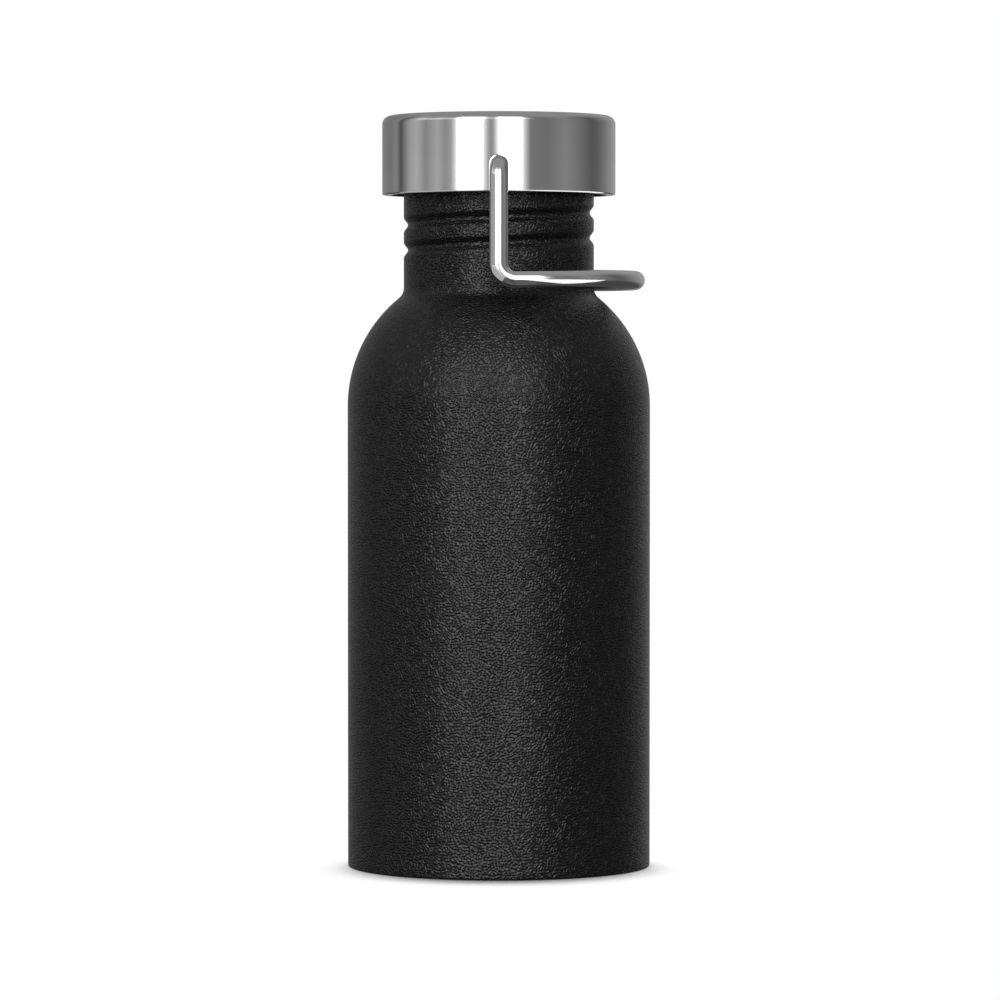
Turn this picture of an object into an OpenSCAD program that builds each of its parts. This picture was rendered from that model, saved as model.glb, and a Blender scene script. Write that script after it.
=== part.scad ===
// Insulated steel water bottle with a screw lid and a bent wire carrying bail.
// The bottle stands on z = 0 and its axis is the Z axis. The bail's loop points along +X,
// and the bail swings about an axis parallel to Y.

/* [Bottle] */
// Outer diameter of the body
body_d = 74; // [70:0.5:78]
// Height from the floor to the top of the lid
total_h = 183.5; // [178:0.5:200]
// Outer diameter of the neck
neck_d = 46.5; // [46.5:0.1:47.5]
// Radius of the shoulder's arc, seen from the side
shoulder_r = 34.2; // [33:0.1:35]
// Radius of the hollow where the shoulder meets the neck
neck_fillet_r = 3.2; // [2.5:0.1:4]
// Width of the vacuum space round the body
vacuum_gap = 2.4; // [2:0.1:3]

/* [Neck thread] */
// Rise of the rolled thread in one turn
pitch = 6.13; // [6:0.01:6.4]
// Depth that the thread is rolled into the neck
thread_depth = 1.0; // [0.8:0.05:1.1]
// Half the width of the rolled groove
groove_half_w = 2.35; // [2.2:0.05:2.4]

/* [Lid] */
// Outer diameter of the lid
lid_d = 57; // [57:0.5:59]
// Height of the lid
lid_h = 19.3; // [19:0.1:20]
// Radius of the lid's top edge
lid_edge_r = 2.1; // [1:0.1:2.5]
// Length of the plug below the lid's lower edge
plug_drop = 17.2; // [16:0.1:18]

/* [Bail] */
// Diameter of the bail's wire
wire_d = 4.6; // [4.2:0.1:4.8]
// Height of the bail's pivots above the lid's lower edge
pivot_rise = 6.7; // [6.6:0.1:7]
// Distance from the pivots down to the middle of the loop's wire
leg_h = 27.6; // [26:0.1:28]
// Reach of the loop from the legs to the middle of its wire
loop_reach = 33.35; // [33:0.05:34.5]

/* [Hidden] */
$fn = 96;

// Sheet thicknesses
outer_t = 0.5;
inner_t = 0.45;
foil_t = 0.1;
lid_t = 0.6;

// Bottle
body_r = body_d / 2;
neck_r = neck_d / 2;
lid_z = total_h - lid_h;          // height of the lid's lower edge
rim_z = lid_z + 2;                // top of the drinking rim
rim_t = 0.8;                      // height of the rim's rolled lip
rim_edge_r = 0.35;
dome_z = total_h - 70.9;          // height where the shoulder starts
neck_gap = 0.45;                  // vacuum space inside the neck
inner_body_r = body_r - outer_t - vacuum_gap;
inner_neck_r = neck_r - outer_t - neck_gap;
mouth_r = inner_neck_r - inner_t;

// Bottom of the bottle
weld_z = 6;                       // seam between the outer shell and its base
base_edge_r = 0.6;
recess_r = 30.7;                  // shallow recess under the bottle
recess_z = 1.6;
port_r = 1.0;                     // evacuation port in the middle of the base
dimple_r = 4;
dimple_rise = 1.3;
inner_weld_z = 9.6;               // seam between the inner flask and its base
inner_floor_z = 5.5;              // underside of the inner base
inner_corner_r = 4;

// Rolled thread: angles are counted from +X round to +Y, and the helix rises with them
thread_z = total_h - 32.8;        // height of the groove's middle at 180 degrees
groove_from = 140;
groove_to = 760;
groove_run = 35;                  // angle over which the groove runs out at each end
ring_step = 10;                   // angle between two rings of a helical sweep
profile_steps = 8;

// Lid
lid_r = lid_d / 2;
hem_w = 1.6;                      // width of the shell's lower edge, turned inwards
hem_edge_r = 0.4;
core_r = lid_r - lid_t - 0.05;
core_top = total_h - lid_edge_r - 0.05;
skirt_t = 1.65;
seal_t = 1.4;
flange_z = rim_z + seal_t;        // underside of the core's flange
flange_t = 1.9;
plug_r = mouth_r - 1.4;
plug_t = 1.6;
plug_z = lid_z - plug_drop;       // bottom of the plug
cover_seat_z = core_top - 0.75;   // ledge that carries the foam's cover
cover_t = total_h - lid_t - 0.3 - cover_seat_z;
plate_t = 0.6;
bead_r = 0.45;                    // bead that keeps the seal on the plug

// Bail
wire_r = wire_d / 2;
pivot_z = lid_z + pivot_rise;
loop_z = pivot_z - leg_h;
leg_y = lid_r + wire_r + 0.6;     // the legs stand just clear of the lid
pin_end_y = 21.6;                 // inner end of each pivot
pin_hole_r = wire_r + 0.06;
shell_hole_r = wire_r + 0.3;
boss_r = 4.4;
boss_end_y = 19.6;
top_bend_r = 3.2;
foot_bend_r = 4;
loop_bend_r = loop_reach - foot_bend_r - 0.35;

// ---------- outlines ----------

// Points of an arc from angle a0 to angle a1
function arc(centre, r, a0, a1, n = 16) =
  [for (i = [0:n]) let (a = a0 + (a1 - a0) * i / n) centre + r * [cos(a), sin(a)]];

function reversed(points) = [for (i = [len(points) - 1:-1:0]) points[i]];

// Side of the flask from the body up to the neck: a shoulder arc, then a hollow fillet.
// The shoulder's centre is the same for every wall, so the walls run side by side.
function flask_side(r_body, r_neck, r_fillet, z_low, z_high) =
  let (
    centre = [body_r - shoulder_r, dome_z],
    r_dome = r_body - centre.x,
    reach = r_dome + r_fillet,
    hollow = [r_neck + r_fillet, centre.y + sqrt(reach ^ 2 - (r_neck + r_fillet - centre.x) ^ 2)],
    a = atan2(hollow.y - centre.y, hollow.x - centre.x)
  )
  concat(
    [[r_body, z_low]],
    arc(centre, r_dome, 0, a, 24),
    arc(hollow, r_fillet, 180 + a, 180, 8),
    [[r_neck, z_high]]
  );

module wall(outside, inside) {
  rotate_extrude() polygon(concat(outside, reversed(inside)));
}

// ---------- helical sweeps ----------

// Share of the full height at a place along the sweep, easing in and out over run
function run_out(a, from, to, run) =
  let (t = min(1, max(0, min(a - from, to - a) / run))) t * t * (3 - 2 * t);

// Rounded bump across the sweep: 1 in the middle and 0 at the edges
function bump(s, half_w) = (1 + cos(180 * s / half_w)) / 2;

function helix_z(a) = thread_z + pitch * (a - 180) / 360;

// A bump that runs along the thread's helix. side is 1 for a bump that stands outwards
// from r_root and -1 for one that stands inwards. back is how deep its root lies.
module helical_bump(r_root, height, half_w, side, back, from, to, run, lift = 0) {
  turns = [for (a = [from:ring_step:to]) a];
  n = profile_steps + 3;
  points = [
    for (a = turns)
      let (share = run_out(a, from, to, run))
      for (i = [0:profile_steps + 2])
        let (
          s = i <= profile_steps ? side * half_w * (1 - 2 * i / profile_steps)
            : i == profile_steps + 1 ? -side * half_w : side * half_w,
          r = i <= profile_steps ? r_root + side * height * share * bump(s, half_w)
            : r_root - side * back
        )
        [r * cos(a), r * sin(a), helix_z(a) + lift + s]
  ];
  sides = [
    for (k = [0:len(turns) - 2], i = [0:n - 1])
      let (j = (i + 1) % n)
      [k * n + j, k * n + i, (k + 1) * n + i, (k + 1) * n + j]
  ];
  first = [for (i = [0:n - 1]) i];
  last = [for (i = [n - 1:-1:0]) (len(turns) - 1) * n + i];
  polyhedron(points, concat([first], sides, [last]), convexity = 6);
}

// Rolled groove, taken out of a wall whose outer radius is r
module rolled_groove(r, half_w) {
  clear = 0.25;
  helical_bump(r + clear, thread_depth + clear, half_w, -1, 0.5, groove_from, groove_to, groove_run);
}

// Ridge that the rolled groove raises on a wall whose inner radius is r
module rolled_ridge(r, half_w) {
  sunk = 0.2;
  helical_bump(r + sunk, thread_depth + sunk, half_w, -1, 0.15, groove_from, groove_to, groove_run);
}

// ---------- bottle ----------

module outer_shell() {
  top = rim_z - rim_t;
  color("#1d1d1e") difference() {
    union() {
      wall(
        flask_side(body_r, neck_r, neck_fillet_r, weld_z, top),
        flask_side(body_r - outer_t, neck_r - outer_t, neck_fillet_r + outer_t, weld_z, top)
      );
      rolled_ridge(neck_r - outer_t, groove_half_w + 0.2);
    }
    rolled_groove(neck_r, groove_half_w);
  }
}

// Cup that closes the outer shell, with a shallow recess and a dimple round its port
module outer_base() {
  floor_r = recess_r + outer_t;
  cone = dimple_rise;
  outside = concat(
    [[body_r, weld_z]],
    reversed(arc([body_r - base_edge_r, base_edge_r], base_edge_r, -90, 0, 6)),
    arc([recess_r + base_edge_r, base_edge_r], base_edge_r, 270, 180, 6),
    [
      [recess_r, recess_z],
      [dimple_r + cone, recess_z],
      [dimple_r, recess_z + dimple_rise],
      [port_r, recess_z + dimple_rise]
    ]
  );
  inside = [
    [body_r - outer_t, weld_z],
    [body_r - outer_t, base_edge_r],
    [body_r - base_edge_r, outer_t],
    [floor_r + base_edge_r - outer_t, outer_t],
    [floor_r, base_edge_r],
    [floor_r, recess_z + outer_t],
    [dimple_r + cone + outer_t, recess_z + outer_t],
    [dimple_r + outer_t, recess_z + dimple_rise + outer_t],
    [port_r, recess_z + dimple_rise + outer_t]
  ];
  color("#1d1d1e") wall(outside, inside);
}

// Disc pressed into the recess over the evacuation port
module base_cap() {
  r = recess_r - 0.15;
  edge = 0.25;
  color("#b9babc") rotate_extrude()
    polygon([
      [0, recess_z - outer_t], [r - edge, recess_z - outer_t], [r, recess_z - outer_t + edge],
      [r, recess_z], [0, recess_z]
    ]);
}

// Bead of solder that closes the port
module vacuum_seal() {
  top = recess_z + dimple_rise;
  color("#8d9096") rotate_extrude()
    polygon([
      [0, top - 0.7], [1.6, top - 0.6], [2.4, top - 0.3], [2.6, top],
      [port_r - 0.02, top], [port_r - 0.02, top + outer_t + 0.2], [0, top + outer_t + 0.3]
    ]);
}

module inner_flask() {
  flare_r = neck_fillet_r + 0.6;
  top = rim_z - rim_t;
  outside = concat(
    flask_side(inner_body_r, inner_neck_r, flare_r, inner_weld_z, top),
    [[neck_r, top]],
    arc([neck_r - rim_edge_r, rim_z - rim_edge_r], rim_edge_r, 0, 90, 5)
  );
  inside = concat(
    flask_side(inner_body_r - inner_t, mouth_r, flare_r + inner_t, inner_weld_z, rim_z - rim_edge_r),
    arc([mouth_r + rim_edge_r, rim_z - rim_edge_r], rim_edge_r, 180, 90, 5)
  );
  color("#c9cacc") difference() {
    union() {
      wall(outside, inside);
      rolled_ridge(mouth_r, groove_half_w + 0.6);
    }
    rolled_groove(inner_neck_r, groove_half_w + 0.4);
  }
}

// Cup that closes the inner flask
module inner_base() {
  function cup(r, floor_z, corner) = concat(
    [[r, inner_weld_z]],
    arc([r - corner, floor_z + corner], corner, 0, -90, 8),
    [[0, floor_z]]
  );
  color("#c9cacc") wall(
    cup(inner_body_r, inner_floor_z, inner_corner_r),
    cup(inner_body_r - inner_t, inner_floor_z + inner_t, inner_corner_r - inner_t)
  );
}

// Copper wrap on the inner flask, inside the vacuum
module radiation_foil() {
  r = inner_body_r + 0.05;
  z_low = inner_weld_z + 4;
  z_high = dome_z - 3;
  color("#b87343") rotate_extrude()
    translate([r, z_low]) square([foil_t, z_high - z_low]);
}

getter_x = 15;
getter_r = 4;
getter_h = 1.6;
clip_t = 0.2;
base_floor_z = recess_z + outer_t;

// Pellet that takes up the last gas in the vacuum
module getter() {
  color("#77797c") translate([getter_x, 0, base_floor_z]) cylinder(r = getter_r, h = getter_h);
}

// Spring strip that is spot welded over the getter
module getter_clip() {
  width = 4;
  foot = 3;
  half = getter_r + 0.3;
  crown = getter_h + 0.1;
  section = [
    [-half - clip_t - foot, 0], [-half, 0], [-half, crown], [half, crown], [half, 0],
    [half + clip_t + foot, 0], [half + clip_t + foot, clip_t], [half + clip_t, clip_t],
    [half + clip_t, crown + clip_t], [-half - clip_t, crown + clip_t],
    [-half - clip_t, clip_t], [-half - clip_t - foot, clip_t]
  ];
  color("#a9abae")
    translate([getter_x, width / 2, base_floor_z])
      rotate([90, 0, 0]) linear_extrude(width) polygon(section);
}

// ---------- lid ----------

// Both pivot holes or pins, as cylinders along Y between two distances from the axis
module along_pivots(r, y_from, y_to) {
  for (turn = [0, 180])
    rotate([0, 0, turn])
      translate([0, -y_from, pivot_z]) rotate([90, 0, 0]) cylinder(r = r, h = y_to - y_from);
}

// Drawn steel cap. Its lower edge is turned in under the core.
module lid_shell() {
  top_corner = [lid_r - lid_edge_r, total_h - lid_edge_r];
  hem_corner = [lid_r - hem_edge_r, lid_z + hem_edge_r];
  outside = concat(
    [[lid_r - lid_t - hem_w, lid_z]],
    arc(hem_corner, hem_edge_r, -90, 0, 5),
    arc(top_corner, lid_edge_r, 0, 90, 12),
    [[0, total_h]]
  );
  inside = concat(
    [
      [lid_r - lid_t - hem_w, lid_z + lid_t],
      [lid_r - lid_t, lid_z + lid_t]
    ],
    arc(top_corner, lid_edge_r - lid_t, 0, 90, 8),
    [[0, total_h - lid_t]]
  );
  color("#c4c5c7") difference() {
    wall(outside, inside);
    along_pivots(shell_hole_r, lid_r - 2, lid_r + 1);
  }
}

// Moulded core: the skirt, the flange that carries the seal, the pivot bosses and the threaded plug
module lid_core() {
  skirt_r = core_r - skirt_t;
  skirt_z = lid_z + lid_t + 0.05;
  ledge_r = skirt_r + 0.7;
  section = [
    [0, plug_z + plate_t], [plug_r - 1.4, plug_z + plate_t], [plug_r - 1.4, plug_z + 0.3],
    [plug_r - 1.1, plug_z], [plug_r - 0.6, plug_z], [plug_r, plug_z + 0.6],
    [plug_r, rim_z - 1.3], [plug_r + bead_r, rim_z - 0.9], [plug_r, rim_z - 0.5],
    [plug_r, flange_z], [skirt_r, flange_z], [skirt_r, skirt_z], [core_r, skirt_z],
    [core_r, core_top - 0.3], [core_r - 0.3, core_top],
    [ledge_r, core_top], [ledge_r, cover_seat_z], [skirt_r, cover_seat_z],
    [skirt_r, flange_z + flange_t], [plug_r - plug_t, flange_z + flange_t],
    [plug_r - plug_t, plug_z + plate_t + plug_t], [0, plug_z + plate_t + plug_t]
  ];
  rib_w = 1.2;
  rib_in = neck_r + 0.65;
  color("#2b2c2e") difference() {
    union() {
      rotate_extrude() polygon(section);
      along_pivots(boss_r, boss_end_y, skirt_r + 0.8);
      // Short ribs that centre the skirt on the neck
      for (a = [15:30:345])
        rotate([0, 0, a])
          translate([rib_in, -rib_w / 2, skirt_z + 0.4])
            cube([skirt_r + 0.5 - rib_in, rib_w, flange_z + 0.5 - skirt_z - 0.4]);
      helical_bump(plug_r - 0.2, 1.3, 1.9, 1, 0.6, 200, 690, 25, lift = 1.05 - pitch / 2);
    }
    along_pivots(pin_hole_r, pin_end_y - 0.3, core_r + 1);
    rotate_extrude()
      translate([plug_r, rim_z - 0.5]) square([skirt_r - 0.01 - plug_r, seal_t + 0.5]);
  }
}

// Foam puck that fills the core's hollow
module lid_foam() {
  low_z = plug_z + plate_t + plug_t;
  step_z = flange_z + flange_t;
  color("#d9d6cc") difference() {
    union() {
      translate([0, 0, low_z]) cylinder(r = plug_r - plug_t - 0.15, h = step_z - low_z);
      translate([0, 0, step_z]) cylinder(r = core_r - skirt_t - 0.2, h = cover_seat_z - 0.2 - step_z);
    }
    along_pivots(boss_r + 0.15, boss_end_y - 0.15, core_r);
  }
}

// Disc that closes the foam's space under the steel cap
module foam_cover() {
  color("#2b2c2e")
    translate([0, 0, cover_seat_z]) cylinder(r = core_r - skirt_t + 0.6, h = cover_t);
}

// Steel disc under the plug, which keeps the drink off the plastic
module plug_plate() {
  color("#c4c5c7")
    translate([0, 0, plug_z + 0.05]) cylinder(r = plug_r - 1.45, h = plate_t - 0.05);
}

// Silicone ring pressed between the rim and the core's flange
module seal_ring() {
  r_in = plug_r + 0.15;
  r_out = neck_r + 0.5;
  soft = 0.3;
  color("#d8d8d4") rotate_extrude()
    polygon([
      [r_in, rim_z + soft], [r_in + soft, rim_z], [r_out - soft, rim_z], [r_out, rim_z + soft],
      [r_out, flange_z - soft], [r_out - soft, flange_z], [r_in + soft, flange_z], [r_in, flange_z - soft]
    ]);
}

// ---------- bail ----------

// Quarter or part of a ring of wire about Z, from angle 0
module wire_bend(bend_r, angle) {
  rotate_extrude(angle = angle) translate([bend_r, 0]) circle(r = wire_r);
}

// Half of the bail: a pivot pin, the top bend, a leg, the foot bend and half of the loop
module bail_half() {
  end_y = leg_y - loop_bend_r;
  // Pin and its rounded end
  translate([0, -pin_end_y, pivot_z])
    rotate([90, 0, 0]) cylinder(r = wire_r, h = leg_y - top_bend_r - pin_end_y);
  translate([0, top_bend_r - leg_y, pivot_z - top_bend_r])
    rotate([90, 0, -90]) wire_bend(top_bend_r, 90);
  translate([0, -leg_y, loop_z + foot_bend_r])
    cylinder(r = wire_r, h = leg_h - top_bend_r - foot_bend_r);
  translate([foot_bend_r, -leg_y, loop_z + foot_bend_r])
    rotate([90, 180, 0]) wire_bend(foot_bend_r, 90);
  translate([foot_bend_r, -leg_y, loop_z])
    rotate([0, 90, 0]) cylinder(r = wire_r, h = loop_reach - loop_bend_r - foot_bend_r);
  translate([loop_reach - loop_bend_r, -end_y, loop_z])
    rotate([0, 0, -90]) wire_bend(loop_bend_r, 90);
  translate([loop_reach, -end_y, loop_z]) rotate([-90, 0, 0]) cylinder(r = wire_r, h = end_y);
}

module bail() {
  color("#bfc0c2") union() {
    bail_half();
    mirror([0, 1, 0]) bail_half();
  }
}

outer_shell();
outer_base();
base_cap();
vacuum_seal();
inner_flask();
inner_base();
radiation_foil();
getter();
getter_clip();
lid_shell();
lid_core();
lid_foam();
foam_cover();
plug_plate();
seal_ring();
bail();
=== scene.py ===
"""Looks of the insulated bottle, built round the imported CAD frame. Lengths are in metres."""
import math

import bmesh
import bpy
import numpy as np
from mathutils import Matrix, Vector


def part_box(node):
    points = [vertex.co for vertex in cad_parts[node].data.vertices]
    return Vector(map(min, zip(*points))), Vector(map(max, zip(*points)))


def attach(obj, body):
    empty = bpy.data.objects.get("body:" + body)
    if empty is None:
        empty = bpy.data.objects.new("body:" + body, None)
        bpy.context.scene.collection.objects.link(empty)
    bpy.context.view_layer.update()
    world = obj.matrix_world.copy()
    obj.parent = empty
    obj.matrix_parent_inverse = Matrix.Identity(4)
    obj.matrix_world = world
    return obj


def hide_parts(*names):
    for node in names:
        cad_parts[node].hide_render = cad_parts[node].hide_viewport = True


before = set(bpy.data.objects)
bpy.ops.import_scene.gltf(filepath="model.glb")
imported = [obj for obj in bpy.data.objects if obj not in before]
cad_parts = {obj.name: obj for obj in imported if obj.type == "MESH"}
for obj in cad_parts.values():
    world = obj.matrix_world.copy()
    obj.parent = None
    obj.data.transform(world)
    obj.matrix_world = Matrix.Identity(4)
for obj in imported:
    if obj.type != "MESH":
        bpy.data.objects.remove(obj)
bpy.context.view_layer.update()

MM = 0.001
TURN = 2 * math.pi
SAME_POINT = 0.001 * MM

# ---------------------------------------------------------------------------
# Sizes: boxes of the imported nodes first, then the few lengths that no box shows
# ---------------------------------------------------------------------------
shell_lo, shell_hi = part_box("outer_shell")
flask_lo, flask_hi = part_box("inner_flask")
floor_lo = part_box("inner_base")[0]
lid_lo, lid_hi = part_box("lid_shell")
core_lo, core_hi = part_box("lid_core")
ring_lo, ring_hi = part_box("seal_ring")
plate_lo, plate_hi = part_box("plug_plate")
bail_lo, bail_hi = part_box("bail")
cap_lo, cap_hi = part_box("base_cap")

body_r = shell_hi.x
weld_z = shell_lo.z
shell_top = shell_hi.z
rim_z = flask_hi.z
lid_r = lid_hi.x
lid_z = lid_lo.z
total_h = lid_hi.z
core_r = core_hi.x
plug_z = core_lo.z
core_top = core_hi.z
flange_z = ring_hi.z
neck_r = ring_hi.x - 0.5 * MM
inner_body_r = flask_hi.x
inner_weld_z = flask_lo.z
inner_floor_z = floor_lo.z

OUTER_T = 0.5 * MM
INNER_T = 0.45 * MM
NECK_GAP = 0.45 * MM
LID_T = 0.6 * MM
SHOULDER_R = 34.2 * MM
NECK_FILLET_R = 3.2 * MM
dome_z = total_h - 70.9 * MM
inner_neck_r = neck_r - OUTER_T - NECK_GAP
mouth_r = inner_neck_r - INNER_T
plug_r = mouth_r - 1.4 * MM

PITCH = 6.13 * MM
THREAD_DEPTH = 1.0 * MM
GROOVE_HALF_W = 1.95 * MM
GROOVE_FROM, GROOVE_TO, GROOVE_RUN = (math.radians(a) for a in (140, 760, 35))
thread_z = total_h - 32.8 * MM

LEG_H = 27.6 * MM                         # from the bail's pivot down to its loop
WIRE_R = (bail_hi.z - bail_lo.z - LEG_H) / 2


# ---------------------------------------------------------------------------
# Mesh helpers
# ---------------------------------------------------------------------------
def arc(cr, cz, r, a0, a1, n):
    """Points of an arc about (cr, cz); angles in degrees."""
    t = np.radians(np.linspace(a0, a1, n + 1))
    return [(cr + r * math.cos(a), cz + r * math.sin(a)) for a in t]


def rows(z0, z1, step):
    """Evenly spaced heights from z0 to z1, about step apart."""
    n = max(1, int(round(abs(z1 - z0) / step)))
    return list(np.linspace(z0, z1, n + 1))


def lathe(name, loop, steps, shift=None, sharp=40):
    """Solid of revolution of a closed (r, z) loop. shift(k, theta, r, z) gives how far the points
    that come from the loop's point k move outwards. Points with r = 0 become one on the axis."""
    theta = np.arange(steps) * TURN / steps
    verts, index = [], []
    for k, (r, z) in enumerate(loop):
        if r < 1e-9:
            index.append([len(verts)] * steps)
            verts.append((0.0, 0.0, z))
            continue
        radius = np.full(steps, r)
        if shift is not None:
            radius = radius + shift(k, theta, r, z)
        start = len(verts)
        verts.extend(zip(radius * np.cos(theta), radius * np.sin(theta), np.full(steps, z)))
        index.append(list(range(start, start + steps)))
    faces = []
    for k in range(len(loop)):
        a, b = index[k], index[(k + 1) % len(loop)]
        if a[0] == a[1] and b[0] == b[1]:
            continue
        for i in range(steps):
            j = (i + 1) % steps
            if a[0] == a[1]:
                faces.append((a[0], b[j], b[i]))
            elif b[0] == b[1]:
                faces.append((a[i], a[j], b[0]))
            else:
                faces.append((a[i], a[j], b[j], b[i]))
    return finish_mesh(name, verts, faces, sharp)


def finish_mesh(name, verts, faces, sharp=40):
    """Object of the faces, smooth but for the edges sharper than the given angle in degrees."""
    mesh = bpy.data.meshes.new(name)
    mesh.from_pydata([tuple(map(float, v)) for v in verts], [], faces)
    mesh.validate()
    obj = bpy.data.objects.new(name, mesh)
    bpy.context.scene.collection.objects.link(obj)
    bm = bmesh.new()
    bm.from_mesh(mesh)
    bmesh.ops.recalc_face_normals(bm, faces=bm.faces)
    bm.to_mesh(mesh)
    bm.free()
    mesh.shade_smooth()
    mesh.set_sharp_from_angle(angle=math.radians(sharp))
    return obj


def merge(name, objs):
    """One object out of several, keeping each one's faces and shading."""
    bpy.ops.object.select_all(action="DESELECT")
    for o in objs:
        o.select_set(True)
    bpy.context.view_layer.objects.active = objs[0]
    bpy.ops.object.join()
    objs[0].name = name
    return objs[0]


def along_pivots(obj, operation, r, y_from, y_to, z, sharp, lowest=-1.0):
    """Join obj with two round bars along Y, one on each side, or cut them out of it.
    The bars are flattened below the height lowest."""
    bm = bmesh.new()
    for side in (-1, 1):
        made = bmesh.ops.create_cone(
            bm, cap_ends=True, segments=64, radius1=r, radius2=r, depth=y_to - y_from)
        bmesh.ops.rotate(bm, verts=made["verts"], matrix=Matrix.Rotation(math.radians(90), 3, "X"))
        bmesh.ops.translate(bm, verts=made["verts"], vec=(0, side * (y_from + y_to) / 2, z))
    for v in bm.verts:
        v.co.z = max(v.co.z, lowest)
    bmesh.ops.remove_doubles(bm, verts=bm.verts, dist=SAME_POINT)
    bmesh.ops.recalc_face_normals(bm, faces=bm.faces)
    bars = bpy.data.meshes.new("bars")
    bm.to_mesh(bars)
    bm.free()
    cutter = bpy.data.objects.new("bars", bars)
    bpy.context.scene.collection.objects.link(cutter)
    mod = obj.modifiers.new("bars", "BOOLEAN")
    mod.object = cutter
    mod.operation = operation
    mod.solver = "EXACT"
    dg = bpy.context.evaluated_depsgraph_get()
    before, after = obj.data, bpy.data.meshes.new_from_object(obj.evaluated_get(dg))
    obj.modifiers.clear()
    obj.data = after
    bpy.data.objects.remove(cutter)
    bpy.data.meshes.remove(bars)
    bpy.data.meshes.remove(before)
    after.shade_smooth()
    after.set_sharp_from_angle(angle=math.radians(sharp))


# ---------------------------------------------------------------------------
# The rolled thread
# ---------------------------------------------------------------------------
def run_out(a, start, end, run):
    """Fades a groove in and out over the angle run at its two ends."""
    t = np.clip(np.minimum(a - start, end - a) / run, 0, 1)
    return t * t * (3 - 2 * t)


def helix_share(theta, z, half_w, start, end, run, lift=0.0):
    """Share of the full depth, 0 to 1, at a place on the neck."""
    share = np.zeros_like(theta)
    for k in range(3):
        a = theta + k * TURN
        s = z - (thread_z + lift + PITCH * (a - math.pi) / TURN)
        near = np.abs(s) < half_w
        bump = (1 + np.cos(np.pi * s / half_w)) / 2
        share = np.maximum(share, np.where(near, bump, 0) * run_out(a, start, end, run))
    return share


def groove_shift(k, theta, r, z):
    """The rolled groove moves the neck's points inwards."""
    return -THREAD_DEPTH * helix_share(theta, z, GROOVE_HALF_W, GROOVE_FROM, GROOVE_TO, GROOVE_RUN)


# ---------------------------------------------------------------------------
# Bottle
# ---------------------------------------------------------------------------
ROUND, ROUND_CORE, ROUND_SMALL = 288, 240, 192   # steps round the pieces
FINE_ROW, COARSE_ROW = 0.2 * MM, 0.4 * MM    # rows along the neck, where the thread is


def flask_side(r_body, r_neck, r_fillet, z_low, z_high, fine):
    """Side of a flask from the body up to the neck, with fine rows where the thread is."""
    cr, cz = body_r - SHOULDER_R, dome_z
    dome = r_body - cr
    reach = dome + r_fillet
    hr = r_neck + r_fillet
    hz = cz + math.sqrt(reach ** 2 - (hr - cr) ** 2)
    a = math.degrees(math.atan2(hz - cz, hr - cr))
    side = [(r_body, z) for z in rows(z_low, cz, 12 * MM)[:-1]]
    side += arc(cr, cz, dome, 0, a, 40)
    side += arc(hr, hz, r_fillet, 180 + a, 180, 12)[1:]
    side += [(r_neck, z) for z in rows(hz, z_high, fine)[1:]]
    return side


# Outer shell -----------------------------------------------------------------
out_side = flask_side(body_r, neck_r, NECK_FILLET_R, weld_z, shell_top, FINE_ROW)
in_side = flask_side(
    body_r - OUTER_T, neck_r - OUTER_T, NECK_FILLET_R + OUTER_T, weld_z, shell_top, COARSE_ROW)
outer_shell = lathe("outer_shell_coated", out_side + in_side[::-1], ROUND, shift=groove_shift)

# Outer base ------------------------------------------------------------------
EDGE_R = 0.6 * MM
recess_r = cap_hi.x + 0.15 * MM
recess_z = cap_hi.z
DIMPLE_R, DIMPLE_RISE, PORT_R = 4 * MM, 1.3 * MM, 1.0 * MM
base_out = [(body_r, weld_z), (body_r, weld_z / 2)]
base_out += arc(body_r - EDGE_R, EDGE_R, EDGE_R, 0, -90, 10)
base_out += arc(recess_r + EDGE_R, EDGE_R, EDGE_R, 270, 180, 10)
base_out += [(recess_r, recess_z), (DIMPLE_R + DIMPLE_RISE, recess_z),
             (DIMPLE_R, recess_z + DIMPLE_RISE), (PORT_R, recess_z + DIMPLE_RISE)]
base_in = [(body_r - OUTER_T, weld_z), (body_r - OUTER_T, EDGE_R), (body_r - EDGE_R, OUTER_T),
           (recess_r + EDGE_R, OUTER_T), (recess_r + OUTER_T, EDGE_R),
           (recess_r + OUTER_T, recess_z + OUTER_T),
           (DIMPLE_R + DIMPLE_RISE + OUTER_T, recess_z + OUTER_T),
           (DIMPLE_R + OUTER_T, recess_z + DIMPLE_RISE + OUTER_T),
           (PORT_R, recess_z + DIMPLE_RISE + OUTER_T)]
outer_base = lathe("outer_base_coated", base_out + base_in[::-1], ROUND)

# Inner flask -----------------------------------------------------------------
FLARE = NECK_FILLET_R + 0.6 * MM
RIM_EDGE = 0.35 * MM
MOUTH_ROW = 0.25 * MM
flask_out = flask_side(inner_body_r, inner_neck_r, FLARE, inner_weld_z, shell_top, COARSE_ROW)
flask_out += [(neck_r, shell_top)] + arc(neck_r - RIM_EDGE, rim_z - RIM_EDGE, RIM_EDGE, 0, 90, 8)
flask_in = flask_side(
    inner_body_r - INNER_T, mouth_r, FLARE + INNER_T, inner_weld_z, rim_z - RIM_EDGE, MOUTH_ROW)
flask_in += arc(mouth_r + RIM_EDGE, rim_z - RIM_EDGE, RIM_EDGE, 180, 90, 8)[1:]
inner_flask = lathe("inner_flask_steel", flask_out + flask_in[::-1], ROUND, shift=groove_shift)

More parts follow.
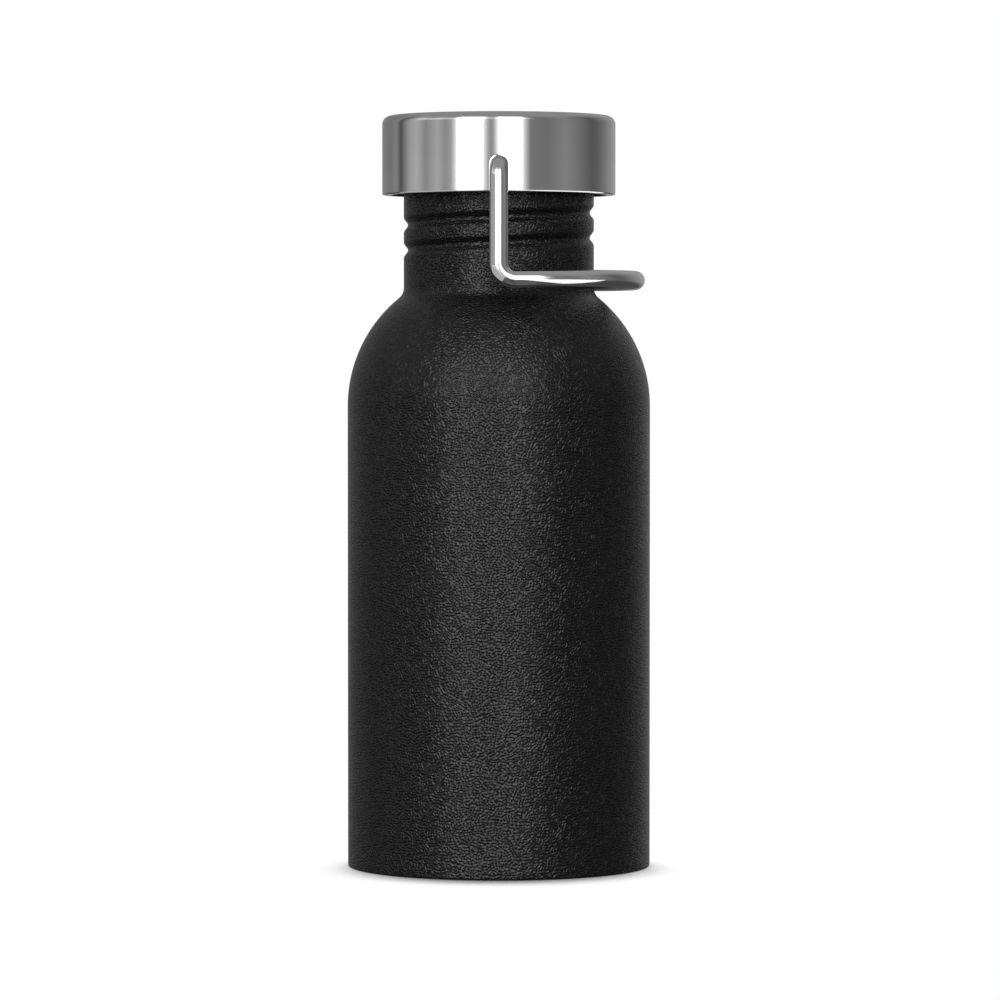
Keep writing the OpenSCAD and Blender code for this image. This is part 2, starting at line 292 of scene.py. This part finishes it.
# Inner base ------------------------------------------------------------------
CORNER = 4 * MM
MID_FLOOR_R = 20 * MM                     # a ring of points between the corner and the middle
corner_at = (inner_body_r - CORNER, inner_floor_z + CORNER)
cup_out = [(inner_body_r, inner_weld_z)] + arc(*corner_at, CORNER, 0, -90, 12)
cup_out += [(MID_FLOOR_R, inner_floor_z), (0, inner_floor_z)]
cup_in = [(inner_body_r - INNER_T, inner_weld_z)] + arc(*corner_at, CORNER - INNER_T, 0, -90, 12)
cup_in += [(MID_FLOOR_R, inner_floor_z + INNER_T), (0, inner_floor_z + INNER_T)]
inner_base = lathe("inner_base_steel", cup_out + cup_in[::-1], ROUND_SMALL)

# ---------------------------------------------------------------------------
# Lid and bail
# ---------------------------------------------------------------------------
# Lid shell -------------------------------------------------------------------
LID_EDGE = 2.1 * MM
HEM_W, HEM_EDGE = 1.6 * MM, 0.4 * MM
hem_in = lid_r - LID_T - HEM_W
edge_at = (lid_r - LID_EDGE, total_h - LID_EDGE)
shell_out = [(hem_in, lid_z)] + arc(lid_r - HEM_EDGE, lid_z + HEM_EDGE, HEM_EDGE, -90, 0, 8)
shell_out += [(lid_r, z) for z in rows(lid_z + HEM_EDGE, total_h - LID_EDGE, 1.5 * MM)[1:-1]]
shell_out += arc(*edge_at, LID_EDGE, 0, 90, 24)
shell_out += [(r, total_h) for r in np.linspace(lid_r - LID_EDGE, 0, 12)[1:]]
shell_in = [(hem_in, lid_z + LID_T), (lid_r - LID_T, lid_z + LID_T)]
shell_in += arc(*edge_at, LID_EDGE - LID_T, 0, 90, 12)
shell_in += [(0, total_h - LID_T)]
LID_SHARP = 50
lid_shell = lathe("lid_shell_steel", shell_out + shell_in[::-1], ROUND, sharp=LID_SHARP)
pivot_z = lid_z + 6.7 * MM
SHELL_HOLE_R, PIN_HOLE_R = WIRE_R + 0.05 * MM, WIRE_R + 0.06 * MM
CUT_PAST = 1 * MM                         # how far a cut runs past the wall that it opens
along_pivots(lid_shell, "DIFFERENCE", SHELL_HOLE_R, core_r - CUT_PAST, lid_r + CUT_PAST, pivot_z,
             LID_SHARP)

# Bail ------------------------------------------------------------------------
loop_z = pivot_z - LEG_H
leg_y = bail_hi.y - WIRE_R
loop_x = bail_hi.x - WIRE_R
PIN_END_Y, TOP_BEND, FOOT_BEND = 21.6 * MM, 3.2 * MM, 4 * MM
LOOP_BEND = loop_x - FOOT_BEND - 0.35 * MM


def bend(centre, u, v, r, n):
    """Points of a quarter ring from centre + r*u to centre + r*v."""
    c, u, v = Vector(centre), Vector(u), Vector(v)
    return [c + r * (math.cos(t) * u + math.sin(t) * v) for t in np.linspace(0, math.pi / 2, n + 1)]


half = [Vector((0, -PIN_END_Y, pivot_z)), Vector((0, -(PIN_END_Y + leg_y - TOP_BEND) / 2, pivot_z))]
half += bend((0, TOP_BEND - leg_y, pivot_z - TOP_BEND), (0, 0, 1), (0, -1, 0), TOP_BEND, 16)
for t in (0.33, 0.66):
    half.append(Vector((0, -leg_y, (1 - t) * (pivot_z - TOP_BEND) + t * (loop_z + FOOT_BEND))))
half += bend((FOOT_BEND, -leg_y, loop_z + FOOT_BEND), (-1, 0, 0), (0, 0, -1), FOOT_BEND, 20)
half += bend((loop_x - LOOP_BEND, -(leg_y - LOOP_BEND), loop_z), (0, -1, 0), (1, 0, 0), LOOP_BEND, 48)
path = half + [Vector((p.x, -p.y, p.z)) for p in half[::-1]]


def tube(name, path, r, sides=40, chamfer=0.5 * MM):
    """Round wire along a smooth path, carried without twist, with chamfered ends."""
    tangents = []
    for i in range(len(path)):
        a, b = path[max(i - 1, 0)], path[min(i + 1, len(path) - 1)]
        tangents.append((b - a).normalized())
    normal = Vector((1, 0, 0))
    rings = []
    for p, t in zip(path, tangents):
        normal = (normal - t * normal.dot(t)).normalized()
        rings.append((p, normal.copy(), t.cross(normal), r))
    p, n, b, _ = rings[0]
    rings[0] = (p + tangents[0] * chamfer, n, b, r)
    rings.insert(0, (p, n, b, r - chamfer))
    p, n, b, _ = rings[-1]
    rings[-1] = (p - tangents[-1] * chamfer, n, b, r)
    rings.append((p, n, b, r - chamfer))
    verts, faces = [], []
    for p, n, b, radius in rings:
        for i in range(sides):
            a = TURN * i / sides
            verts.append(p + radius * (math.cos(a) * n + math.sin(a) * b))
    for k in range(len(rings) - 1):
        for i in range(sides):
            j = (i + 1) % sides
            faces.append((k * sides + i, k * sides + j, (k + 1) * sides + j, (k + 1) * sides + i))
    faces.append(tuple(range(sides))[::-1])
    last = (len(rings) - 1) * sides
    faces.append(tuple(range(last, last + sides)))
    return finish_mesh(name, verts, faces, 40)


bail = tube("bail_wire", path, WIRE_R)

# Lid core: a lathed body whose plug carries the thread --------------------------
SKIRT_T = 1.65 * MM
PLUG_T, PLATE_T, FLANGE_T, BEAD_R = 1.6 * MM, 0.6 * MM, 1.9 * MM, 0.45 * MM
skirt_r = core_r - SKIRT_T
skirt_z = lid_z + LID_T + 0.05 * MM
ledge_r = skirt_r + 0.7 * MM
seat_z = core_top - 0.75 * MM
PLUG_THREAD_H, PLUG_THREAD_W = 1.1 * MM, 1.9 * MM
PLUG_FROM, PLUG_TO, PLUG_RUN = (math.radians(a) for a in (200, 690, 25))
plug_lift = 1.05 * MM - PITCH / 2
core_loop = [(0, plug_z + PLATE_T), (plug_r - 1.4 * MM, plug_z + PLATE_T),
             (plug_r - 1.4 * MM, plug_z + 0.3 * MM), (plug_r - 1.1 * MM, plug_z),
             (plug_r - 0.6 * MM, plug_z)]
thread_first = len(core_loop)
core_loop += [(plug_r, z) for z in rows(plug_z + 0.6 * MM, rim_z - 3 * MM, FINE_ROW)]
thread_last = len(core_loop)
core_loop += [(plug_r, rim_z - 1.3 * MM)] + arc(plug_r, rim_z - 0.9 * MM, BEAD_R, -60, 60, 8)
core_loop += [(plug_r, rim_z - 0.4 * MM), (plug_r, flange_z), (skirt_r, flange_z),
              (skirt_r, skirt_z), (core_r, skirt_z), (core_r, core_top - 0.3 * MM),
              (core_r - 0.3 * MM, core_top), (ledge_r, core_top), (ledge_r, seat_z),
              (skirt_r, seat_z), (skirt_r, flange_z + FLANGE_T),
              (plug_r - PLUG_T, flange_z + FLANGE_T), (plug_r - PLUG_T, plug_z + PLATE_T + PLUG_T),
              (0, plug_z + PLATE_T + PLUG_T)]


def plug_shift(k, theta, r, z):
    """The plug's thread moves its points outwards."""
    if not thread_first <= k < thread_last:
        return np.zeros_like(theta)
    return PLUG_THREAD_H * helix_share(
        theta, z, PLUG_THREAD_W, PLUG_FROM, PLUG_TO, PLUG_RUN, plug_lift)


core_body = lathe("lid_core_moulded", core_loop, ROUND_CORE, shift=plug_shift)

# Bosses that carry the bail's pins, and the blind holes in them
BOSS_R, BOSS_SHARP = 4.4 * MM, 40
along_pivots(core_body, "UNION", BOSS_R, PIN_END_Y - 2 * MM, skirt_r + 0.8 * MM, pivot_z,
             BOSS_SHARP, lowest=flange_z + 0.6 * MM)
along_pivots(core_body, "DIFFERENCE", PIN_HOLE_R, PIN_END_Y - 0.3 * MM, core_r + CUT_PAST, pivot_z,
             BOSS_SHARP)


def block(name, lo, hi, turn, edge):
    """Box from lo to hi with rounded edges, turned about Z."""
    bm = bmesh.new()
    bmesh.ops.create_cube(bm, size=1)
    for v in bm.verts:
        v.co = Vector((lo[i] + (v.co[i] + 0.5) * (hi[i] - lo[i]) for i in range(3)))
    bmesh.ops.bevel(bm, geom=bm.edges[:], offset=edge, segments=2, profile=0.5, affect="EDGES")
    c, s = math.cos(turn), math.sin(turn)
    for v in bm.verts:
        v.co = Vector((c * v.co.x - s * v.co.y, s * v.co.x + c * v.co.y, v.co.z))
    verts = [tuple(v.co) for v in bm.verts]
    faces = [tuple(v.index for v in f.verts) for f in bm.faces]
    bm.free()
    return finish_mesh(name, verts, faces, 30)


# Ribs that centre the skirt on the neck
RIB_W, RIB_COUNT, RIB_TURN = 1.2 * MM, 12, 15
rib_lo = (neck_r + 0.65 * MM, -RIB_W / 2, skirt_z + 0.4 * MM)
rib_hi = (skirt_r + 0.5 * MM, RIB_W / 2, flange_z + 0.5 * MM)
ribs = [block(f"rib_{i}", rib_lo, rib_hi, math.radians(RIB_TURN) + TURN * i / RIB_COUNT, 0.25 * MM)
        for i in range(RIB_COUNT)]
lid_core = merge("lid_core_moulded", [core_body] + ribs)

# Seal ring --------------------------------------------------------------------
SOFT = 0.45 * MM
ring_left, ring_right = plug_r + 0.15 * MM + SOFT, ring_hi.x - SOFT
ring_low, ring_high = ring_lo.z + SOFT, ring_hi.z - SOFT
ring_loop = arc(ring_right, ring_low, SOFT, -90, 0, 6) + arc(ring_right, ring_high, SOFT, 0, 90, 6)
ring_loop += arc(ring_left, ring_high, SOFT, 90, 180, 6) + arc(ring_left, ring_low, SOFT, 180, 270, 6)
seal_ring = lathe("seal_ring_silicone", ring_loop, ROUND_SMALL)


def disc(name, r, low, high, chamfer, inner_rings, steps):
    """Flat disc with a chamfer round its lower edge. inner_rings are radii of extra points below."""
    loop = [(0, high), (r, high), (r, low + chamfer), (r - chamfer, low)]
    loop += [(ring, low) for ring in inner_rings] + [(0, low)]
    return lathe(name, loop, steps)


# Plug plate and base cap --------------------------------------------------------
plug_plate = disc("plug_plate_steel", plate_hi.x, plate_lo.z, plate_hi.z, 0.15 * MM,
                  (15 * MM, 12 * MM, 6 * MM), 128)
base_cap = disc("base_cap_steel", cap_hi.x, cap_lo.z, cap_hi.z, 0.25 * MM,
                (27 * MM, 20 * MM, 12 * MM, 5 * MM), ROUND_SMALL)

# ---------------------------------------------------------------------------
# Materials
# ---------------------------------------------------------------------------
class Nodes:
    """A material's node tree with short calls for the nodes used here."""

    def __init__(self, name):
        self.mat = bpy.data.materials.new(name)
        self.mat.use_nodes = True
        self.tree = self.mat.node_tree
        self.bsdf = self.tree.nodes["Principled BSDF"]
        self.coords = self.tree.nodes.new("ShaderNodeTexCoord").outputs["Object"]

    def link(self, a, b):
        self.tree.links.new(a, b)

    def set(self, **values):
        for key, value in values.items():
            self.bsdf.inputs[key.replace("_", " ")].default_value = value

    def node(self, kind, **settings):
        n = self.tree.nodes.new(kind)
        for key, value in settings.items():
            setattr(n, key, value)
        return n

    def scaled(self, x, y, z):
        m = self.node("ShaderNodeMapping")
        m.inputs["Scale"].default_value = (x, y, z)
        self.link(self.coords, m.inputs["Vector"])
        return m.outputs[0]

    def noise(self, scale, detail=2.0, rough=0.5, vector=None, distortion=0.0):
        n = self.node("ShaderNodeTexNoise")
        n.inputs["Scale"].default_value = scale
        n.inputs["Detail"].default_value = detail
        n.inputs["Roughness"].default_value = rough
        n.inputs["Distortion"].default_value = distortion
        self.link(vector if vector is not None else self.coords, n.inputs["Vector"])
        return n.outputs["Fac"]

    def voronoi(self, scale):
        n = self.node("ShaderNodeTexVoronoi", feature="F1")
        n.inputs["Scale"].default_value = scale
        self.link(self.coords, n.inputs["Vector"])
        return n.outputs["Distance"]

    def ridges(self, scale, frequency):
        """Winding ridges of even height, -1 to 1, that run in all directions."""
        n = self.node("ShaderNodeTexGabor", gabor_type="3D")
        n.inputs["Scale"].default_value = scale
        n.inputs["Frequency"].default_value = frequency
        n.inputs["Anisotropy"].default_value = 0
        self.link(self.coords, n.inputs["Vector"])
        return self.math("SINE", self.math("MULTIPLY", n.outputs["Phase"], TURN), 0)

    def math(self, operation, a, b):
        n = self.node("ShaderNodeMath", operation=operation)
        for socket, value in zip(n.inputs, (a, b)):
            if isinstance(value, (int, float)):
                socket.default_value = value
            else:
                self.link(value, socket)
        return n.outputs[0]

    def ramp(self, fac, stops):
        n = self.node("ShaderNodeValToRGB")
        e = n.color_ramp.elements
        while len(e) < len(stops):
            e.new(0.5)
        for el, (pos, value) in zip(e, stops):
            el.position = pos
            el.color = (*value, 1) if isinstance(value, tuple) else (value, value, value, 1)
        self.link(fac, n.inputs["Fac"])
        return n.outputs["Color"]

    def vary(self, socket, fac, *stops):
        """Drive a socket of the shader with a ramp over fac."""
        self.link(self.ramp(fac, stops), self.bsdf.inputs[socket])

    def bump(self, height, strength, distance):
        n = self.node("ShaderNodeBump")
        n.inputs["Strength"].default_value = strength
        n.inputs["Distance"].default_value = distance
        self.link(height, n.inputs["Height"])
        self.link(n.outputs[0], self.bsdf.inputs["Normal"])


def powder_coat():
    """Black powder coat with a wrinkle of short worm-like ridges under 0.7 mm apart."""
    m = Nodes("powder_coat")
    m.set(Metallic=0.0, IOR=1.5)
    m.bsdf.inputs["Specular IOR Level"].default_value = 0.34
    wrinkle = m.ridges(700, 2.15)
    fine = m.noise(2400, 1.0, 0.5)
    m.bump(m.math("ADD", wrinkle, m.math("MULTIPLY", fine, 0.6)), 1.0, 0.053 * MM)
    tone = m.noise(260, 3.0, 0.6)
    m.vary("Base Color", tone, (0.3, (0.0030, 0.0030, 0.0031)), (0.7, (0.0042, 0.0042, 0.0043)))
    m.vary("Roughness", fine, (0.3, 0.23), (0.7, 0.29))
    return m.mat


def steel(name, tone, rough, grain, streak, strength=0.02):
    """Polished or brushed steel. streak gives the grain's scale along X, Y and Z."""
    m = Nodes(name)
    m.set(Metallic=1.0)
    fine = m.noise(grain, 3.0, 0.6, m.scaled(*streak))
    clouds = m.noise(70, 2.0, 0.5)
    lo, hi = tone * 0.96, min(1.0, tone * 1.03)
    m.vary("Base Color", clouds, (0.3, (lo, lo, lo * 1.005)), (0.7, (hi, hi, hi * 1.01)))
    m.vary("Roughness", fine, (0.25, rough * 0.85), (0.75, rough * 1.2))
    m.bump(fine, strength, 0.05 * MM)
    return m.mat


def plastic(name, colour, rough, scale=1800, strength=0.12):
    """Moulded plastic, foam or rubber with a fine grain."""
    m = Nodes(name)
    m.set(IOR=1.49)
    grain = m.noise(scale, 3.0, 0.55)
    dark = tuple(c * 0.85 for c in colour)
    light = tuple(min(1, c * 1.12) for c in colour)
    m.vary("Base Color", m.noise(120, 2.0, 0.5), (0.3, dark), (0.7, light))
    m.vary("Roughness", grain, (0.3, rough * 0.9), (0.7, rough * 1.1))
    m.bump(grain, strength, 0.1 * MM)
    return m


coat = powder_coat()
lid_steel = steel("lid_steel", 0.62, 0.08, 900, (1, 1, 12))
wire_steel = steel("wire_steel", 0.66, 0.09, 1200, (1, 1, 1))
flask_steel = steel("flask_steel", 0.58, 0.26, 500, (1, 1, 10), 0.05)
spring_steel = steel("spring_steel", 0.45, 0.32, 700, (1, 4, 1), 0.05)
core_plastic = plastic("core_plastic", (0.022, 0.022, 0.024), 0.48).mat
silicone_m = plastic("silicone", (0.62, 0.62, 0.60), 0.42, 900, 0.05)
silicone_m.set(Subsurface_Weight=0.3)
silicone_m.bsdf.inputs["Subsurface Radius"].default_value = (0.6 * MM, 0.6 * MM, 0.55 * MM)
silicone = silicone_m.mat


def foam_material():
    """Rigid foam with its cells showing."""
    m = plastic("foam", (0.78, 0.74, 0.64), 0.85, 1400, 0.2)
    cells = m.voronoi(900)
    m.bump(cells, 0.6, 0.4 * MM)
    return m.mat


def copper_material():
    """Thin copper foil, slightly crinkled."""
    m = Nodes("copper_foil")
    m.set(Metallic=1.0)
    crinkle = m.noise(240, 4.0, 0.6, distortion=1.2)
    m.vary("Base Color", m.noise(60, 2.0), (0.3, (0.70, 0.32, 0.17)), (0.7, (0.80, 0.42, 0.25)))
    m.vary("Roughness", crinkle, (0.3, 0.18), (0.7, 0.34))
    m.bump(crinkle, 0.5, 0.3 * MM)
    return m.mat


def dull_metal(name, tone, scale):
    """Rough grey metal, cast or sintered."""
    m = Nodes(name)
    m.set(Metallic=0.9)
    grain = m.noise(scale, 4.0, 0.65)
    m.vary("Base Color", grain, (0.3, tone * 0.7), (0.7, tone * 1.25))
    m.vary("Roughness", grain, (0.3, 0.45), (0.7, 0.7))
    m.bump(grain, 0.4, 0.1 * MM)
    return m.mat


foam = foam_material()
copper = copper_material()
solder = dull_metal("solder", 0.34, 700)
getter_metal = dull_metal("getter_metal", 0.2, 2200)


PIECES = [
    (outer_shell, "bottle", "outer_shell", "coat", coat),
    (outer_base, "bottle", "outer_base", "coat", coat),
    (base_cap, "bottle", "base_cap", "flask_steel", flask_steel),
    (inner_flask, "bottle", "inner_flask", "flask_steel", flask_steel),
    (inner_base, "bottle", "inner_base", "flask_steel", flask_steel),
    (lid_shell, "lid", "lid_shell", "lid_steel", lid_steel),
    (lid_core, "lid", "lid_core", "core_plastic", core_plastic),
    (plug_plate, "lid", "plug_plate", "lid_steel", lid_steel),
    (seal_ring, "seal", "seal_ring", "silicone", silicone),
    (bail, "bail", "bail", "wire_steel", wire_steel),
]
for piece, body, node, slot_name, material in PIECES:
    piece.data.materials.clear()
    piece.data.materials.append(material)
    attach(piece, body)
    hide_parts(node)

# The hidden nodes that are carried over from the CAD
CARRIED = {
    "vacuum_seal": solder, "radiation_foil": copper, "getter": getter_metal,
    "getter_clip": spring_steel, "lid_foam": foam, "foam_cover": core_plastic,
}
for node, material in CARRIED.items():
    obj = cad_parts[node]
    for s in obj.material_slots:
        s.material = material
    if not obj.material_slots:
        obj.data.materials.append(material)

# ---------------------------------------------------------------------------
# Floor, light and camera
# ---------------------------------------------------------------------------
FLOOR_REACH = 6.0
SHADOW_REACH = 25 * MM                    # how near the bottle must be to darken the floor


def make_floor():
    """White floor that glows evenly but for a contact shadow at the bottle's foot. The shadow is an
    ambient occlusion that looks out leaning away from the camera."""
    bm = bmesh.new()
    bmesh.ops.create_grid(bm, x_segments=8, y_segments=8, size=FLOOR_REACH)
    mesh = bpy.data.meshes.new("floor")
    bm.to_mesh(mesh)
    bm.free()
    floor = bpy.data.objects.new("floor", mesh)
    bpy.context.scene.collection.objects.link(floor)
    m = Nodes("pale_floor")
    shade = m.node("ShaderNodeAmbientOcclusion", samples=16)
    shade.inputs["Distance"].default_value = SHADOW_REACH
    lean = m.node("ShaderNodeCombineXYZ")
    lean.inputs["Y"].default_value = 0.55
    lean.inputs["Z"].default_value = 0.835
    m.link(lean.outputs[0], shade.inputs["Normal"])
    glow = m.node("ShaderNodeEmission")
    shadow = m.ramp(shade.outputs["AO"], [(0.25, 0.05), (0.47, 0.36), (0.59, 0.75), (0.70, 1.0)])
    m.link(shadow, glow.inputs["Color"])
    out = m.tree.nodes["Material Output"]
    m.link(glow.outputs[0], out.inputs["Surface"])
    mesh.materials.append(m.mat)
    floor.visible_glossy = False
    floor.visible_diffuse = False


def panel(name, width, height, radiance):
    """Area light that faces down from the origin, of an even brightness."""
    data = bpy.data.lights.new(name, "AREA")
    data.shape = "RECTANGLE"
    data.size, data.size_y = width, height
    data.energy = radiance * math.pi * width * height
    light = bpy.data.objects.new(name, data)
    bpy.context.scene.collection.objects.link(light)
    return light


LIGHT_D = 2.0                             # from every softbox to the point that it faces
AIM_Z = 0.12


def softbox(name, azimuth, elevation, width, height, radiance):
    """Panel at an azimuth from the camera's side, 0 in front, positive to the right."""
    light = panel(name, width, height, radiance)
    a, e = math.radians(azimuth), math.radians(elevation)
    where = Vector((math.sin(a) * math.cos(e), -math.cos(a) * math.cos(e), math.sin(e))) * LIGHT_D
    light.location = where + Vector((0, 0, AIM_Z))
    light.rotation_euler = (-where).to_track_quat("-Z", "Y").to_euler()
    return light


def light_only(light, pieces):
    """Let the light reach only the given pieces."""
    lit = bpy.data.collections.new(light.name + "_lights")
    for piece in pieces:
        lit.objects.link(piece)
    light.light_linking.receiver_collection = lit


def floor_glow(name, x0, x1, y0, y1, radiance, pieces):
    """A lit stretch of floor as the polished steel sees it. It lights only the given pieces."""
    light = panel(name, x1 - x0, y1 - y0, radiance)
    light.location = ((x0 + x1) / 2, (y0 + y1) / 2, 0.5 * MM)
    light.rotation_euler = (math.pi, 0, 0)
    light.visible_camera = False
    light.visible_diffuse = False
    light_only(light, pieces)


def studio_world():
    """Grey studio walls that vary with the direction. The camera itself sees plain white."""
    world = bpy.data.worlds.new("studio")
    bpy.context.scene.world = world
    world.use_nodes = True
    tree = world.node_tree
    tree.nodes.clear()
    link = tree.links.new

    def calc(operation, *values):
        n = tree.nodes.new("ShaderNodeMath")
        n.operation = operation
        for socket, value in zip(n.inputs, values):
            if isinstance(value, (int, float)):
                socket.default_value = value
            else:
                link(value, socket)
        return n.outputs[0]

    def curve(value, lo, hi, stops):
        """Brightness read off straight lines between stops, over value from lo to hi."""
        ramp = tree.nodes.new("ShaderNodeValToRGB")
        e = ramp.color_ramp.elements
        while len(e) < len(stops):
            e.new(0.5)
        for el, (place, level) in zip(e, stops):
            el.position = (place - lo) / (hi - lo)
            el.color = (level, level, level, 1)
        link(calc("DIVIDE", calc("SUBTRACT", value, lo), hi - lo), ramp.inputs["Fac"])
        return ramp.outputs["Color"]

    coords = tree.nodes.new("ShaderNodeTexCoord")
    split = tree.nodes.new("ShaderNodeSeparateXYZ")
    link(coords.outputs["Generated"], split.inputs[0])
    x, y, z = split.outputs
    azimuth = calc("MULTIPLY", calc("ARCTAN2", x, calc("MULTIPLY", y, -1)), 360 / TURN)
    # Brightness of the walls from left to right, -180 and 180 being behind the bottle. Each
    # softbox stands in front of a stretch of 1.5, whose sides fade out as its glow on the walls.
    walls = curve(azimuth, -180, 180, [
        (-180, 0.28), (-145, 0.26), (-134, 0.25), (-123, 0.32), (-119.5, 0.28), (-113, 0.10),
        (-98, 0.50), (-88, 0.60), (-77, 0.37), (-63, 0.58), (-54, 0.40), (-48, 0.50),
        (-44.5, 0.90), (-41.5, 1.5), (-16, 1.5), (-12, 0.75), (-9, 0.40),
        (-6, 0.38), (-3.5, 0.75), (-0.5, 1.5), (22.5, 1.5), (26.5, 0.75),
        (31, 0.26), (50, 0.24), (69, 0.33), (84, 0.25), (104, 0.14), (112, 0.15),
        (137, 0.32), (158, 0.41), (180, 0.30)])
    # The walls fade out below the horizon and towards the ceiling
    level = curve(z, -1, 1, [(-0.25, 0.05), (-0.08, 1.0), (0.5, 1.0), (0.75, 0.0)])
    ceiling = curve(z, -1, 1, [(-0.25, 0.07), (-0.08, 0.0), (0.5, 0.0), (0.75, 0.38)])
    # A faint light strip, from the left round to the right of the camera, above its height
    strip = calc("MULTIPLY", curve(azimuth, -180, 180, [(-95, 0), (-85, 0.4), (28, 0.4), (36, 0)]),
                 curve(z, -1, 1, [(0.15, 0), (0.22, 1), (0.42, 1), (0.5, 0)]))
    room = calc("ADD", calc("ADD", calc("MULTIPLY", walls, level), ceiling), strip)
    background = tree.nodes.new("ShaderNodeBackground")
    link(room, background.inputs["Color"])
    white = tree.nodes.new("ShaderNodeBackground")
    white.inputs["Color"].default_value = (1, 1, 1, 1)
    ray = tree.nodes.new("ShaderNodeLightPath")
    mix = tree.nodes.new("ShaderNodeMixShader")
    link(ray.outputs["Is Camera Ray"], mix.inputs[0])
    link(background.outputs[0], mix.inputs[1])
    link(white.outputs[0], mix.inputs[2])
    out = tree.nodes.new("ShaderNodeOutputWorld")
    link(mix.outputs[0], out.inputs["Surface"])


make_floor()
studio_world()

# Softboxes: azimuth, elevation, width, height, radiance
SOFTBOX_UP, SOFTBOX_H = 15, 1.46
softbox("softbox_left", -28.5, SOFTBOX_UP, 0.90, SOFTBOX_H, 2.5)
softbox("softbox_right", 11.4, SOFTBOX_UP, 0.785, SOFTBOX_H, 2.7)
# Two more that only the coated pieces see: one fills the right, one lights the shoulder
softbox_body = softbox("softbox_body", 34, SOFTBOX_UP, 0.5, SOFTBOX_H, 1.2)
softbox_high = softbox("softbox_high", -9, 30, 1.2, 0.25, 3.0)
for light in (softbox_body, softbox_high):
    light_only(light, (outer_shell, outer_base))
# Lit floor: x from and to, y from and to, radiance, what it lights
floor_glow("floor_by_bail", 0.11, 1.31, -1.25, -0.09, 1.5, (bail,))
floor_glow("floor_right", 0.11, 1.31, -1.25, 0.3, 1.5, (lid_shell,))
floor_glow("floor_left", -1.2, -0.1, -1.0, 0.2, 0.5, (lid_shell, bail))

# Camera
CAMERA_X, CAMERA_D, CAMERA_Z = 0.000285, 1.2245, 0.127
CAMERA_PITCH = 1.7485                     # degrees that it looks down
cam_data = bpy.data.cameras.new("camera")
cam_data.lens = 180
cam_data.sensor_width = 36
cam_data.clip_end = 50
cam = bpy.data.objects.new("camera", cam_data)
cam.location = (CAMERA_X, -CAMERA_D, CAMERA_Z)
cam.rotation_euler = (math.radians(90 - CAMERA_PITCH), 0, 0)
bpy.context.scene.collection.objects.link(cam)
bpy.context.scene.camera = cam

view = bpy.context.scene.view_settings
view.view_transform = "Standard"
view.look = "None"
view.exposure = 0
view.gamma = 1
